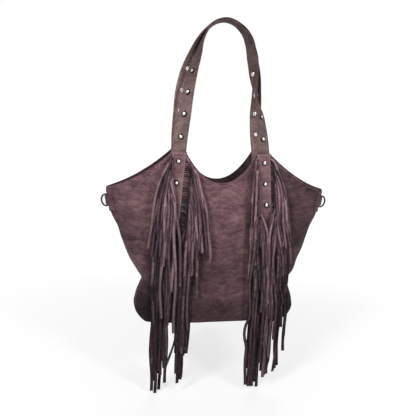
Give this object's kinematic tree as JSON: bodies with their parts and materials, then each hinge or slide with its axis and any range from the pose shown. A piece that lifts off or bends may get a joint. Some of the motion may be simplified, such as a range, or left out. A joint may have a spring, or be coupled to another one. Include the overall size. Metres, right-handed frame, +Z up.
{
  "type": "fringed suede shoulder bag",
  "caption": "Soft suede tote with a scooped mouth, studded strap handles, tabs with long fringe and D-rings on its side seams; hangs by its handles to carry things.",
  "frame": {"origin": "underside of the front handle at the top of its arch, where a hook or hand holds the bag", "axes": "+Z up, +X to the right seen from the front, +Y from front to back"},
  "size_m": [0.5024, 0.1312, 0.8008],
  "materials": {
    "suede": "brushed dusky brown suede, matt nap",
    "suede_base": "darker suede, matt nap",
    "nickel": "bright nickel dome with a dark rim",
    "gunmetal": "dark gunmetal plating"
  },
  "bodies": {
    "bag": {"front_panel": "suede", "back_panel": "suede", "base_panel": "suede_base", "front_handle": "suede", "back_handle": "suede", "left_tab": "suede", "right_tab": "suede", "left_fringe_outer": "suede", "left_fringe_inner": "suede", "right_fringe_outer": "suede", "right_fringe_inner": "suede", "left_side_patch": "suede", "right_side_patch": "suede", "left_ring_loop": "suede", "right_ring_loop": "suede", "left_tab_stud_1": "nickel", "left_tab_stud_2": "nickel", "left_tab_stud_3": "nickel", "left_back_stud_1": "nickel", "left_back_stud_2": "nickel", "right_tab_stud_1": "nickel", "right_tab_stud_2": "nickel", "right_tab_stud_3": "nickel", "right_back_stud_1": "nickel", "right_back_stud_2": "nickel", "front_handle_stud_left_1": "nickel", "front_handle_stud_left_2": "nickel", "front_handle_stud_left_3": "nickel", "front_handle_stud_left_4": "nickel", "front_handle_stud_right_1": "nickel", "front_handle_stud_right_2": "nickel", "front_handle_stud_right_3": "nickel", "front_handle_stud_right_4": "nickel", "back_handle_stud_left_1": "nickel", "back_handle_stud_left_2": "nickel", "back_handle_stud_left_3": "nickel", "back_handle_stud_left_4": "nickel", "back_handle_stud_right_1": "nickel", "back_handle_stud_right_2": "nickel", "back_handle_stud_right_3": "nickel", "back_handle_stud_right_4": "nickel"},
    "left_ring": {"left_d_ring": "gunmetal"},
    "right_ring": {"right_d_ring": "gunmetal"}
  },
  "joints": [
    {"name": "left_ring_swing", "type": "hinge", "parent": "bag", "child": "left_ring", "pos_m": [-0.23878, 0, -0.3705], "axis": [-0.1409, 0, 0.99], "range_deg": [-80, 80]},
    {"name": "right_ring_swing", "type": "hinge", "parent": "bag", "child": "right_ring", "pos_m": [0.23878, 0, -0.3705], "axis": [0.1409, 0, 0.99], "range_deg": [-80, 80]}
  ]
}
